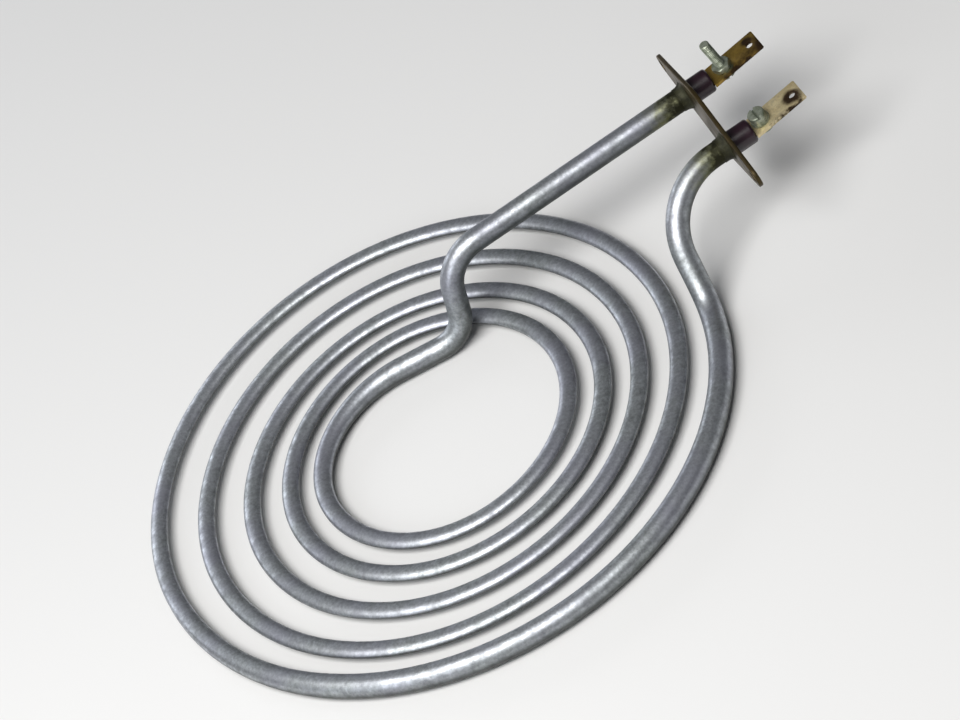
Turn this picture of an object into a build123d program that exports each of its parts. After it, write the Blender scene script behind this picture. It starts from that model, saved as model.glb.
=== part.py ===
"""Tubular heating element: a swaged spiral coil with two raised cold ends on a rhombic flange.

Frame: origin at the centre of the flange's seat, +X out of the seat towards the terminals,
+Z up, at right angles to the coil. Lead A is on the +Y side and lead B on the -Y side.
"""
import os
from math import asin, cos, degrees, radians, sin

from build123d import *

# Sheath sections
cold_dia = 8.0  # full-round cold ends
heated_width = 6.2  # swaged oval of the heated length
heated_height = 3.6
sheath_wall = 0.6

# Inside the sheath
pin_dia = 2.6
winding_width = 2.6  # envelope of the flattened resistance winding
winding_height = 1.0
packing_gap = 0.05  # between the sheath, the packed powder and what it holds
seal_length = 3.0

# Coil, wound anticlockwise from its inner end: the radius of each bend along the tube
coil_start_deg = 80.0
first_radius = 37.0
quarter_radii = [44, 45.5, 49.5, 52, 56, 57, 63, 64.5, 69, 71.5, 78, 79, 84.5, 86.5, 95, 92]
last_growth = 13.0  # of the radius, into the bend that holds the outer taper
outer_taper_deg = 45.0
end_radius = 93.0

# Place of the coil: down from the leads, with its outer end behind the flange and beside lead B
coil_drop = 28.0
end_setback = 36.2
end_reach = 36.07

# Lead A: a steep drop from the straight lead to a short run into the inner turn
drop_top_x = 39.0  # ahead of the first bend's centre
drop_top_bend = 16.0
drop_run = 25.0
drop_bend = 12.0

# Lead B: leaves the outer turn, climbs and turns out to the flange
climb_run = 9.0
climb_setback = 28.4  # behind the flange's seat
climb_bend = 18.0
turn_bend = 26.0

# Flange and brazing
lead_spacing = 32.0
screw_spacing = 70.0
flange_hole_dia = 4.5
flange_tip_radius = 4.0
flange_width = 28.0
flange_thickness = 1.5
flange_edge = 0.3
tube_clearance = 0.05
braze_length = 3.0
braze_spread = 1.2
braze_lip = 0.15
braze_hollow = 4.0  # radius of its cheek

# Insulating bushes
bush_dia = 8.6
bush_length = 8.0
bush_round = 1.0
bush_foot_round = 0.5
bush_clearance = 0.1

# Terminal tabs
tab_width = 9.5
tab_thickness = 1.2
tab_length = 20.2
tab_tilt = 8.0
tab_bend = 3.0
tab_corner = 0.4
tongue_width = 5.0
tongue_length = 3.0
tip_hole_dia = 2.6
tip_hole_inset = 3.4

# Terminal screws, nuts and washers (M3.5)
thread_dia = 3.5
thread_clearance = 0.1
screw_inset_a = 5.6  # from the bush along the tab
screw_inset_b = 4.1
head_dia = 6.0
head_height = 2.4
head_round = 0.5
slot_width = 0.9
slot_depth = 1.0
thread_tip = 0.4
long_screw = 14.0
short_screw = 6.0
nut_width = 6.0
nut_height = 2.0
nut_corner = 0.35
washer_dia = 6.6
washer_thickness = 0.8
spring_dia = 6.2
spring_thickness = 0.9
spring_split = 0.7

# Places worked out from the sizes above
up = Vector(0, 0, 1)
lead_y = lead_spacing / 2
tube_end = flange_thickness
seal_start = tube_end - seal_length
bush_end = flange_thickness + bush_length
pin_end = bush_end - tongue_length
coil_y = lead_y - first_radius
last_radius = quarter_radii[-1] + last_growth


def radial(degrees):
    """Unit vector in the coil's plane at this angle."""
    return Vector(cos(radians(degrees)), sin(radians(degrees)), 0)


# The coil's bends from its inner end, with centres as steps from the first bend's centre: each
# steps along the radius that it shares with the bend before
bends = [(first_radius, 180 - coil_start_deg)]
bends += [(radius, 90) for radius in quarter_radii]
bends += [(last_radius, outer_taper_deg), (last_radius, 90 - outer_taper_deg)]
steps = []
step = Vector(0, 0, 0)
heading = coil_start_deg
last_bend = first_radius
for bend_radius, bend_deg in bends:
    step += radial(heading) * (last_bend - bend_radius)
    steps.append((step, bend_radius, heading, bend_deg))
    heading += bend_deg
    last_bend = bend_radius

# The outer turn's last bend ends beside lead B, and that end sets the coil's place along X
step += radial(heading) * (last_bend - end_radius)
end_rise = asin((-lead_y - end_reach - coil_y - step.Y) / end_radius)
steps.append((step, end_radius, heading, 90 + degrees(end_rise)))
coil_centre = Vector(-end_setback - step.X - end_radius * cos(end_rise), coil_y, -coil_drop)
arcs = [(coil_centre + offset, *bend) for offset, *bend in steps]


def coil_route(first, last):
    """Wire along the coil's bends from one index up to another."""
    with BuildLine() as route:
        for arc in arcs[first:last]:
            CenterArc(*arc)
    return route.wire()


heated_end = 1 + len(quarter_radii)
inner_taper = coil_route(0, 1)
heated_coil = coil_route(1, heated_end)
outer_taper = coil_route(heated_end, heated_end + 1)
cold_turn = coil_route(heated_end + 1, len(arcs))


def lead_a_route(end_x):
    """Wire of lead A from its end at the flange down to the inner turn."""
    coil_start = inner_taper @ 0
    drop_foot = coil_start - (inner_taper % 0) * drop_run
    drop_top = Vector(coil_centre.X + drop_top_x, lead_y, 0)
    corners = ((end_x, lead_y, 0), drop_top, drop_foot, coil_start)
    with BuildLine() as route:
        FilletPolyline(*corners, radius=[drop_top_bend, drop_bend])
    return route.wire()


def lead_b_route(end_x):
    """Wire of lead B from the outer turn up to its end at the flange."""
    coil_end = cold_turn @ 1
    climb_foot = coil_end + (cold_turn % 1) * climb_run
    climb_top = Vector(-climb_setback, -lead_y, 0)
    corners = (coil_end, climb_foot, climb_top, (end_x, -lead_y, 0))
    with BuildLine() as route:
        FilletPolyline(*corners, radius=[climb_bend, turn_bend])
    return route.wire()


def section_plane(route, position):
    """Plane across a route with its x direction level and outward from the coil."""
    along = route % position
    return Plane(origin=route @ position, x_dir=along.cross(up), z_dir=along)


def cold_lengths(radius, end_x):
    """Solids of lead A, and of lead B with the cold turn below it."""
    lead_a = lead_a_route(end_x)
    lead_b = lead_b_route(end_x)
    with BuildPart() as a_run:
        with BuildSketch(section_plane(lead_a, 0)):
            Circle(radius)
        sweep(path=lead_a)
    with BuildPart() as b_run:
        with BuildSketch(section_plane(cold_turn, 0)):
            Circle(radius)
        sweep(path=cold_turn)
        with BuildSketch(section_plane(lead_b, 0)):
            Circle(radius)
        sweep(path=lead_b)
    return a_run.part, b_run.part


def hot_length(radius, width, height):
    """Solid of the heated oval with a taper to the round section at each end."""
    with BuildPart() as run:
        with BuildSketch(section_plane(inner_taper, 0)):
            Circle(radius)
        with BuildSketch(section_plane(inner_taper, 1)):
            Ellipse(width / 2, height / 2)
        sweep(path=inner_taper, multisection=True)
        with BuildSketch(section_plane(heated_coil, 0)):
            Ellipse(width / 2, height / 2)
        sweep(path=heated_coil)
        with BuildSketch(section_plane(outer_taper, 0)):
            Ellipse(width / 2, height / 2)
        with BuildSketch(section_plane(outer_taper, 1)):
            Circle(radius)
        sweep(path=outer_taper, multisection=True)
    return run.part


def whole_tube(radius, width, height, end_x):
    """Solid of the whole tube at this section, with its two ends at end_x."""
    a_run, b_run = cold_lengths(radius, end_x)
    with BuildPart() as tube:
        add(a_run)
        add(hot_length(radius, width, height))
        add(b_run)
    return tube.part


def save(piece, name):
    """Label a finished piece and write it out."""
    piece.label = name
    export_step(piece, f"parts/{name}.step")


os.makedirs("parts", exist_ok=True)

bore_dia = cold_dia - 2 * sheath_wall
bore_width = heated_width - 2 * sheath_wall
bore_height = heated_height - 2 * sheath_wall

# Sheath: one drawn tube, bent, swaged over its heated length and open at its two ends
with BuildPart() as sheath:
    add(whole_tube(cold_dia / 2, heated_width, heated_height, tube_end))
    add(whole_tube(bore_dia / 2, bore_width, bore_height, tube_end), mode=Mode.SUBTRACT)
save(sheath.part, "sheath")

# Insulation: magnesium oxide packed round the pins and the winding, up to the end seals
packed = 2 * packing_gap
with BuildPart() as insulation:
    add(whole_tube((bore_dia - packed) / 2, bore_width - packed, bore_height - packed, seal_start))
    add(
        whole_tube((pin_dia + packed) / 2, winding_width + packed, winding_height + packed, seal_start),
        mode=Mode.SUBTRACT,
    )
save(insulation.part, "insulation")

# Winding: the envelope of the resistance wire, flattened with the sheath and round at the pins
with BuildPart() as winding:
    add(hot_length(pin_dia / 2, winding_width, winding_height))
save(winding.part, "winding")

# Cold pins: solid rods from the winding out to the tabs
pin_a, pin_b = cold_lengths(pin_dia / 2, pin_end)
save(pin_a, "pin_a")
save(pin_b, "pin_b")

# End seals: moisture seals between sheath and pin
for name, y in (("a", lead_y), ("b", -lead_y)):
    with BuildPart() as seal:
        with BuildSketch(Plane(origin=(seal_start, y, 0), z_dir=(1, 0, 0))):
            Circle(bore_dia / 2 - packing_gap)
            Circle(pin_dia / 2 + packing_gap, mode=Mode.SUBTRACT)
        extrude(amount=seal_length)
    save(seal.part, f"seal_{name}")

# Flange: a rhombic plate with a screw hole in each tip and a hole for each tube, whose rim is
# countersunk on the seat side for the brazing
with BuildPart() as flange:
    with BuildSketch(Plane.YZ):
        Circle(flange_width / 2)
        with Locations((-screw_spacing / 2, 0), (screw_spacing / 2, 0)):
            Circle(flange_tip_radius)
        make_hull()
        with Locations((-lead_y, 0), (lead_y, 0)):
            Circle(cold_dia / 2 + tube_clearance, mode=Mode.SUBTRACT)
        with Locations((-screw_spacing / 2, 0), (screw_spacing / 2, 0)):
            Circle(flange_hole_dia / 2, mode=Mode.SUBTRACT)
    extrude(amount=flange_thickness)
    seat_face, front_face = flange.faces().filter_by(Axis.X)
    tube_rims = seat_face.inner_wires().sort_by(SortBy.LENGTH)[-2:].edges()
    chamfer(seat_face.outer_wire().edges() + front_face.outer_wire().edges(), flange_edge)
    chamfer(tube_rims, braze_spread)
save(flange.part, "flange")

# Brazing: fills the countersink round each tube and runs up the tube with a hollow cheek
for name, y in (("a", lead_y), ("b", -lead_y)):
    inner = cold_dia / 2 + tube_clearance
    foot = (0, inner + braze_spread)
    lip = (-braze_length, inner + braze_lip)
    with BuildPart() as braze:
        with BuildSketch(Plane(origin=(0, y, 0), x_dir=(1, 0, 0), z_dir=(0, -1, 0))):
            with BuildLine():
                Polyline(lip, (-braze_length, inner), (braze_spread, inner), foot)
                RadiusArc(foot, lip, braze_hollow)
            make_face()
        revolve(axis=Axis((0, y, 0), (1, 0, 0)))
    save(braze.part, f"braze_{name}")

# Bushes: moulded insulators on the flange, each slotted at its outer end for the tab's tongue
for name, y in (("a", lead_y), ("b", -lead_y)):
    with BuildPart() as bush:
        with BuildSketch(Plane(origin=(flange_thickness, y, 0), z_dir=(1, 0, 0))):
            Circle(bush_dia / 2)
        extrude(amount=bush_length)
        fillet(bush.edges().filter_by(GeomType.CIRCLE).sort_by(Axis.X)[-1], bush_round)
        fillet(bush.edges().filter_by(GeomType.CIRCLE).sort_by(Axis.X)[0], bush_foot_round)
        with BuildSketch(Plane(origin=(flange_thickness, y, 0), z_dir=(1, 0, 0))):
            Circle(pin_dia / 2 + bush_clearance)
        extrude(amount=bush_length, mode=Mode.SUBTRACT)
        with BuildSketch(Plane(origin=(bush_end, y, 0), x_dir=(0, 1, 0), z_dir=(1, 0, 0))):
            Rectangle(tongue_width + 2 * bush_clearance, tab_thickness + 2 * bush_clearance)
        extrude(amount=-tongue_length, mode=Mode.SUBTRACT)
    save(bush.part, f"bush_{name}")

# Tabs: blades with a tongue in the bush, bent up just outside it
blade_along = Vector(cos(radians(tab_tilt)), 0, sin(radians(tab_tilt)))
blade_normal = Vector(-sin(radians(tab_tilt)), 0, cos(radians(tab_tilt)))
bend_length = tab_bend * radians(tab_tilt)


def blade_plane(y, along, height=0.0, facing=1):
    """Plane along a tab's blade: this far along it from the bush and this high above its middle."""
    bend_centre = Vector(bush_end, y, tab_bend)
    origin = bend_centre - blade_normal * (tab_bend - height) + blade_along * (along - bend_length)
    return Plane(origin=origin, x_dir=blade_along, z_dir=blade_normal * facing)


for name, y, screw_inset in (("a", lead_y, screw_inset_a), ("b", -lead_y, screw_inset_b)):
    root_plane = Plane(origin=(bush_end, y, 0), x_dir=(0, 1, 0), z_dir=(1, 0, 0))
    with BuildPart() as tab:
        with BuildLine(Plane(origin=(bush_end, y, 0), x_dir=(1, 0, 0), z_dir=(0, -1, 0))):
            bend = JernArc((0, 0), (1, 0), tab_bend, tab_tilt)
            Line(bend @ 1, bend @ 1 + (bend % 1) * (tab_length - bend_length))
        with BuildSketch(root_plane):
            Rectangle(tab_width, tab_thickness)
        sweep()
        tip = tab.faces().sort_by(Axis.X)[-1]
        chamfer(tip.edges().sort_by(SortBy.LENGTH)[:2], tab_corner)
        with BuildSketch(root_plane):
            Rectangle(tongue_width, tab_thickness)
        extrude(amount=-tongue_length)
        with BuildSketch(blade_plane(y, screw_inset)):
            Circle(thread_dia / 2 + thread_clearance)
        with BuildSketch(blade_plane(y, tab_length - tip_hole_inset)):
            Circle(tip_hole_dia / 2)
        extrude(amount=tab_thickness, both=True, mode=Mode.SUBTRACT)
    save(tab.part, f"tab_{name}")


def cheese_head_screw(seat, length):
    """Slotted screw whose head stands on the seat plane and whose shank goes down from it."""
    with BuildPart() as screw:
        with BuildSketch(seat):
            Circle(head_dia / 2)
        extrude(amount=head_height)
        fillet(screw.faces().sort_by(Axis(seat.origin, seat.z_dir))[-1].edges(), head_round)
        with BuildSketch(seat.offset(head_height)):
            Rectangle(slot_width, head_dia)
        extrude(amount=-slot_depth, mode=Mode.SUBTRACT)
        with BuildSketch(seat):
            Circle(thread_dia / 2)
        extrude(amount=-length)
        chamfer(screw.faces().sort_by(Axis(seat.origin, seat.z_dir))[0].edges(), thread_tip)
    return screw.part


def thin_nut(seat):
    """Thin hexagon nut standing on the seat plane, with both rims chamfered."""
    with BuildPart() as nut:
        with BuildSketch(seat):
            Circle(nut_width / 2 + nut_corner)
        extrude(amount=nut_height)
        chamfer(nut.edges(), nut_corner)
        with BuildSketch(seat):
            RegularPolygon(nut_width / 2, 6, major_radius=False)
            Circle(thread_dia / 2 + thread_clearance, mode=Mode.SUBTRACT)
        extrude(amount=nut_height, mode=Mode.INTERSECT)
    return nut.part


def ring(seat, diameter, thickness):
    """Flat ring round the screw, standing on the seat plane."""
    with BuildPart() as washer:
        with BuildSketch(seat):
            Circle(diameter / 2)
            Circle(thread_dia / 2 + thread_clearance, mode=Mode.SUBTRACT)
        extrude(amount=thickness)
    return washer.part


# Terminal A: a screw put in from below, its nut on top and its bare thread standing up
blade_face = tab_thickness / 2
save(cheese_head_screw(blade_plane(lead_y, screw_inset_a, -blade_face, -1), long_screw), "screw_a")
save(thin_nut(blade_plane(lead_y, screw_inset_a, blade_face)), "nut_a")

# Terminal B: a short screw from above on a spring washer and a plain washer, its nut below
spring_seat = blade_face + washer_thickness
head_seat = spring_seat + spring_thickness
save(cheese_head_screw(blade_plane(-lead_y, screw_inset_b, head_seat), short_screw), "screw_b")
save(thin_nut(blade_plane(-lead_y, screw_inset_b, -blade_face, -1)), "nut_b")
save(ring(blade_plane(-lead_y, screw_inset_b, blade_face), washer_dia, washer_thickness), "washer_b")
with BuildPart() as spring_washer:
    spring_plane = blade_plane(-lead_y, screw_inset_b, spring_seat)
    add(ring(spring_plane, spring_dia, spring_thickness))
    with BuildSketch(spring_plane):
        Rectangle(spring_dia, spring_split, align=(Align.MIN, Align.CENTER))
    extrude(amount=spring_thickness, mode=Mode.SUBTRACT)
save(spring_washer.part, "spring_washer_b")
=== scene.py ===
"""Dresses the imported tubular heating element: bent sheath, flange, bushes, tabs and terminals."""
from math import acos, asin, atan2, ceil, cos, degrees, pi, radians, sin, sqrt, tan

import bmesh
import bpy
from bmesh.types import BMEdge, BMFace, BMVert
from bpy.props import FloatProperty, FloatVectorProperty, IntProperty, PointerProperty
from mathutils import Matrix, Vector, noise


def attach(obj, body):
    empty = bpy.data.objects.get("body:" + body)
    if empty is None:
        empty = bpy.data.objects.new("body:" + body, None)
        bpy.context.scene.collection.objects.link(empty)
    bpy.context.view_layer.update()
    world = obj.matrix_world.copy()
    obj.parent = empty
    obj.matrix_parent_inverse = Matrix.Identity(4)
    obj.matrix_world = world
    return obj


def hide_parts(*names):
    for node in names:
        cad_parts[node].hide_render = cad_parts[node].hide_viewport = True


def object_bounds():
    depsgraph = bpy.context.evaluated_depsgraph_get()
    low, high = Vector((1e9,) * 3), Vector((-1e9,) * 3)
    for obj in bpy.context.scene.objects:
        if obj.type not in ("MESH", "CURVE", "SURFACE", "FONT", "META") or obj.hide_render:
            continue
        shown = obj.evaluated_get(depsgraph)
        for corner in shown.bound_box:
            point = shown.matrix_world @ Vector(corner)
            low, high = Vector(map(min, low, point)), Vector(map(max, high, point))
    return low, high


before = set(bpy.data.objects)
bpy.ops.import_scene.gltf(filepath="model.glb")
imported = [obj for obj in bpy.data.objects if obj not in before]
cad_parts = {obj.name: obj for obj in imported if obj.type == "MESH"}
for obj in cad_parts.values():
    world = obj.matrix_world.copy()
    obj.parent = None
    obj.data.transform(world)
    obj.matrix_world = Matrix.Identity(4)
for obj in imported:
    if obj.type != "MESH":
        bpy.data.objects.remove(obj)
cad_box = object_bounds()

bl_info = {
    "name": "Tubular heating element",
    "version": (1, 0, 0),
    "blender": (4, 5, 0),
    "location": "3D View > Sidebar > Element",
    "description": "Builds the visible pieces of a spiral tubular heating element on its CAD frame",
    "category": "Object",
}

ORIGIN = Vector((0, 0, 0))
UP = Vector((0, 0, 1))
BLACK = (0.0, 0.0, 0.0, 1.0)

# Metres between vertices that are one, and the same along a thread's seam
SAME_PLACE = 1e-7
THREAD_SEAM = 1e-6

# Faces round the holes, the brazing, a screw's head and a screw's thread
HOLE_STEPS = 40
BRAZE_STEPS = 56
HEAD_STEPS = 48
THREAD_STEPS = 36

# A sheet's edge is rounded where its faces turn by more than this
RIM_ANGLE = radians(60)

# Keeps a bend that is a whole number of steps from getting one more
TURN_SLACK = 1e-6

# Length of a cutter that has to reach past whatever it cuts
CUTTER_REACH = 1.0

# Attribute of the sheath: 0 where its skin faces up and 1 where it faces down. The steel's painted
# shade darkens with it.
UNDERSIDE = "underside"

# Unevenness of the brazing: scale of its noise, shift of that noise per metre from tube to tube,
# and its share at the tube's skin
SWELL_SCALE = 420.0
SWELL_SHIFT = 900.0
SWELL_AT_SKIN = 0.3

# A mix node's inputs for the factor and the two colours, and its output for the colour
MIX_INPUTS = (0, 6, 7)
MIX_OUTPUT = 2

# Levels between which noise becomes a mask
PATCH_LEVELS = (0.36, 0.66)
GRAIN_LEVELS = (0.3, 0.7)
CAST_LEVELS = (0.35, 0.65)
FLOOR_LEVELS = (0.2, 0.8)

# Height of a patina's patches against its grain, and how much rougher its thickest film is
PATCH_HEIGHT = 0.4
FILM_ROUGHNESS = 0.25

# Dark brown marks on each tab: how far back from the tip and across, radius and softness
# The broad marks centred beside the blade are painted reflection, darkening one side of its face;
# the small ones darken its tip and round its hole.
TAB_MARKS_AND_PAINTED_REFLECTION = {
    "a": (
        (0.0, -0.0035, 0.0085, 0.7),
        (0.010, -0.0145, 0.0160, 0.25),
        (0.0035, 0.0018, 0.0032, 0.5),
    ),
    "b": ((0.0038, -0.0010, 0.0050, 0.45), (0.0080, -0.0145, 0.0138, 0.15)),
}

# Painted shade round each tab's screw, a dark dull ring on the blade: radius and softness
SCREW_PAINTED_SHADE = {"a": (0.0055, 0.6), "b": (0.0045, 0.6)}

# Lamps: name, direction from the coil, width, height and tint
WARM = (1.0, 0.99, 0.97)
COOL = (0.93, 0.96, 1.0)
LAMPS = (
    ("key", (-0.30, -0.35, 0.9), 0.9, 0.6, WARM),
    ("fill", (-0.80, -0.55, 0.45), 0.5, 0.5, COOL),
    ("rim", (-0.45, 0.85, 0.30), 0.8, 0.3, COOL),
)
LAMP_DISTANCE = 1.1
SURROUNDINGS = (0.92, 0.95, 1.0, 1.0)
FLOOR_MARKS = (0.6, 0.6, 0.6)

# Camera: sensor in millimetres, and how far it sees in metres
SENSOR_WIDTH = 36.0
SIGHT = 20.0


def length(name, description, default):
    """Property for a size in metres."""
    return FloatProperty(
        name=name, description=description, default=default, unit="LENGTH", precision=5
    )


def angle(name, description, default):
    """Property for an angle, whose default is given in degrees."""
    return FloatProperty(
        name=name, description=description, default=radians(default), subtype="ANGLE"
    )


def colour(name, description, default):
    """Property for a linear colour."""
    return FloatVectorProperty(
        name=name, description=description, default=default,
        size=3, subtype="COLOR", min=0.0, max=1.0,
    )


def power(name, description, default):
    """Property for a lamp's power in watts."""
    return FloatProperty(name=name, description=description, default=default, unit="POWER")


class SheathSizes(bpy.types.PropertyGroup):
    """Sizes of the bent tube."""

    cold_dia: length("Cold diameter", "Diameter of the full-round cold ends", 0.008)
    heated_width: length("Heated width", "Width of the swaged oval, level with the coil", 0.0062)
    heated_height: length("Heated height", "Height of the swaged oval", 0.0036)
    coil_drop: length("Coil drop", "From the leads down to the coil", 0.028)
    end_setback: length("End setback", "From the flange's seat to the outer turn's end", 0.0362)
    end_reach: length("End reach", "From lead B out to the outer turn's end", 0.03607)
    start_angle: angle("Start angle", "Where the inner turn starts", 80)
    first_radius: length("First radius", "Radius of the inner turn's first bend", 0.037)
    quarter_radii: FloatVectorProperty(
        name="Quarter radii",
        description="Radius of each quarter turn of the heated length, from the inside out",
        size=16,
        unit="LENGTH",
        default=(
            0.044, 0.0455, 0.0495, 0.052, 0.056, 0.057, 0.063, 0.0645,
            0.069, 0.0715, 0.078, 0.079, 0.0845, 0.0865, 0.095, 0.092,
        ),
    )
    last_growth: length("Last growth", "Of the radius, into the bend with the outer taper", 0.013)
    outer_taper: angle("Outer taper", "Turn over which the oval grows back to the round", 45)
    end_radius: length("End radius", "Radius of the outer turn's last bend", 0.093)
    drop_top_x: length("Drop top", "Top of lead A's drop, ahead of the first bend's centre", 0.039)
    drop_top_bend: length("Drop top bend", "Bend radius at the top of the drop", 0.016)
    drop_run: length("Drop run", "Straight from the drop's foot to the inner turn", 0.025)
    drop_bend: length("Drop bend", "Bend radius at the foot of the drop", 0.012)
    climb_run: length("Climb run", "From the outer turn to the corner where lead B climbs", 0.009)
    climb_setback: length("Climb top", "Corner above the climb, behind the flange's seat", 0.0284)
    climb_bend: length("Climb bend", "Bend radius at the foot of the climb", 0.018)
    turn_bend: length("Turn bend", "Bend radius where lead B turns to the flange", 0.026)
    segments: IntProperty(name="Segments", description="Faces around the tube", default=40, min=12)
    step_angle: angle("Step", "Turn between two rings of faces", 1.5)
    step_run: length("Step run", "Run between two rings of faces on a straight", 0.0025)
    end_recess: length("End recess", "Depth of the recess at each tube end", 0.0005)
    wall: length("Wall", "Wall of the tube at its ends", 0.0006)


class FlangeSizes(bpy.types.PropertyGroup):
    """Sizes of the plate and its brazing."""

    lead_spacing: length("Lead spacing", "Between the two tubes", 0.032)
    screw_spacing: length("Screw spacing", "Between the two screw holes", 0.070)
    hole_dia: length("Hole", "Diameter of the screw holes", 0.0045)
    tip_radius: length("Tip radius", "Radius of the plate's tips", 0.004)
    width: length("Width", "Width of the plate at its middle", 0.028)
    thickness: length("Thickness", "Thickness of the plate", 0.0015)
    edge: length("Edge", "Rounding of the plate's edges", 0.00035)
    braze_length: length("Braze length", "Length of the brazing along the tube", 0.003)
    braze_spread: length("Braze spread", "Height of the brazing on the plate", 0.0012)
    braze_lip: length("Braze lip", "Thickness of the brazing's thin end", 0.00015)
    braze_hollow: length("Braze hollow", "Radius of the brazing's cheek", 0.004)
    braze_depth: length("Braze depth", "Reach of the brazing under the tube's skin", 0.0001)
    braze_swell: length("Braze swell", "Unevenness of the brazing outwards", 0.00025)
    braze_run: length("Braze run", "Unevenness of the brazing along the tube", 0.0008)
    clearance: length("Clearance", "Between the tube and its hole", 0.00005)


class TerminalSizes(bpy.types.PropertyGroup):
    """Sizes of the bushes, tabs, screws and washers that place and shape the new pieces."""

    bush_length: length("Bush length", "Length of the bush", 0.008)
    tab_width: length("Tab width", "Width of the blade", 0.0095)
    tab_thickness: length("Tab thickness", "Thickness of the blade", 0.0012)
    tab_length: length("Tab length", "Length of the blade from the bush", 0.0202)
    tab_tilt: angle("Tab tilt", "Upward bend of the blade at the bush", 8)
    tab_bend: length("Tab bend", "Radius of that bend at the blade's middle", 0.003)
    tab_corner: length("Tab corner", "Bevel of the blade's tip", 0.0004)
    tongue_width: length("Tongue width", "Width of the tongue in the bush", 0.005)
    tongue_length: length("Tongue length", "Length of the tongue in the bush", 0.003)
    tab_edge: length("Tab edge", "Rounding of the blade's sheared edges", 0.00012)
    tip_hole_dia: length("Tip hole", "Diameter of the hole near the tip", 0.0026)
    tip_hole_inset: length("Tip hole inset", "From the tip to that hole", 0.0034)
    screw_inset_a: length("Screw A inset", "From the bush along tab A to its screw", 0.0056)
    screw_inset_b: length("Screw B inset", "From the bush along tab B to its screw", 0.0041)
    thread_dia: length("Thread", "Outer diameter of the thread", 0.0035)
    thread_pitch: length("Pitch", "Pitch of the thread", 0.0006)
    thread_depth: length("Thread depth", "Depth of the thread", 0.00032)
    head_dia: length("Head", "Diameter of the screw's head", 0.006)
    head_height: length("Head height", "Height of the screw's head", 0.0024)
    head_round: length("Head round", "Rounding of the head's rim", 0.0005)
    head_edge: length("Head edge", "Bevel of the head's lower rim", 0.0001)
    slot_width: length("Slot width", "Width of the driver slot", 0.0009)
    slot_depth: length("Slot depth", "Depth of the driver slot", 0.001)
    long_screw: length("Long screw", "Length of the screw in tab A", 0.014)
    short_screw: length("Short screw", "Length of the screw in tab B", 0.006)
    washer_thickness: length("Washer thickness", "Thickness of the plain washer", 0.0008)
    spring_thickness: length("Spring thickness", "Thickness of the spring washer", 0.0009)
    clearance: length("Clearance", "Between the thread and its holes", 0.0001)


class FinishColours(bpy.types.PropertyGroup):
    """Colours of the finishes."""

    steel: colour("Steel", "Drawn steel of the sheath", (0.66, 0.70, 0.73))
    steel_violet: colour("Steel, violet", "Violet cast of the drawn steel", (0.45, 0.44, 0.57))
    steel_dark: colour("Steel, dark", "Oxide film on the sheath", (0.20, 0.215, 0.215))
    flux: colour("Flux stain", "Yellow-green stain beside the brazing", (0.17, 0.17, 0.05))
    # The colour below is painted shade: the sheath's steel darkens towards it where its skin faces
    # down.
    soot_and_painted_shade: colour("Soot", "Burnt oxide under the sheath", (0.035, 0.04, 0.032))
    plate: colour("Plate", "Passivated plate", (0.095, 0.066, 0.024))
    plate_dark: colour("Plate, dark", "Stained plate", (0.016, 0.015, 0.008))
    braze: colour("Braze", "Brazing metal under its flux", (0.045, 0.045, 0.02))
    bush: colour("Bush", "Maroon moulding", (0.014, 0.003, 0.008))
    bush_dust: colour("Bush dust", "Dull film on the bush", (0.030, 0.007, 0.018))
    powder: colour("Powder", "Packed magnesium oxide", (0.80, 0.78, 0.72))
    powder_shade: colour("Powder, shade", "Darker patches of the powder", (0.55, 0.53, 0.48))
    wire: colour("Wire", "Resistance wire", (0.22, 0.20, 0.19))
    resin: colour("Resin", "End seal", (0.45, 0.40, 0.30))
    brass_aged: colour("Brass, aged", "Tab A", (0.46, 0.30, 0.065))
    brass_bright: colour("Brass, bright", "Tab B", (0.86, 0.74, 0.46))
    # The colour below is also painted reflection: the tabs' broad marks darken one side of each
    # blade with it.
    brass_stain_and_painted_reflection: colour("Brass stain", "Brown stain on both tabs", (0.035, 0.018, 0.006))
    zinc: colour("Zinc", "Plated screws, nuts and washers", (0.50, 0.54, 0.44))
    # The colour below also paints the shade round each tab's screw.
    zinc_dark: colour("Zinc, dark", "Dull film on the plating", (0.13, 0.16, 0.10))


class StudioSizes(bpy.types.PropertyGroup):
    """Camera, lamps and floor."""

    roll: angle("Camera roll", "Turn of the picture about the line of sight", 34.39)
    tilt: angle("Camera tilt", "From straight above the coil", 47.62)
    distance: length("Camera distance", "From the coil's first bend", 1.4)
    shift_right: length("Aim right", "Aim to the right of the first bend", 0.01797)
    shift_up: length("Aim up", "Aim above the first bend", 0.02713)
    lens: FloatProperty(name="Lens", description="Focal length", default=161.04, unit="CAMERA")
    floor_size: length("Floor", "Side of the floor", 6.0)
    floor_colour: colour("Floor colour", "Pale floor", (0.80, 0.80, 0.80))
    key_power: power("Key", "Power of the key lamp", 13.5)
    fill_power: power("Fill", "Power of the fill lamp", 2.0)
    rim_power: power("Rim", "Power of the low lamp at the back", 2.5)
    world: FloatProperty(name="World", description="Strength of the surroundings", default=0.10)


def settings(name):
    """One of the add-on's groups of settings, by its name on the scene."""
    return getattr(bpy.context.scene, name)


# Shared tools for meshes


def frame_matrix(origin, x_axis, z_axis):
    """Matrix of a place whose x and z axes point these ways."""
    x_axis = x_axis.normalized()
    z_axis = z_axis.normalized()
    y_axis = z_axis.cross(x_axis)
    turned = Matrix((x_axis, y_axis, z_axis)).transposed()
    return Matrix.Translation(origin) @ turned.to_4x4()


def lead_matrix(y):
    """Place where a lead crosses the flange's seat, with its z axis out along the lead."""
    return frame_matrix(Vector((0, y, 0)), Vector((0, 1, 0)), Vector((1, 0, 0)))


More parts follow.
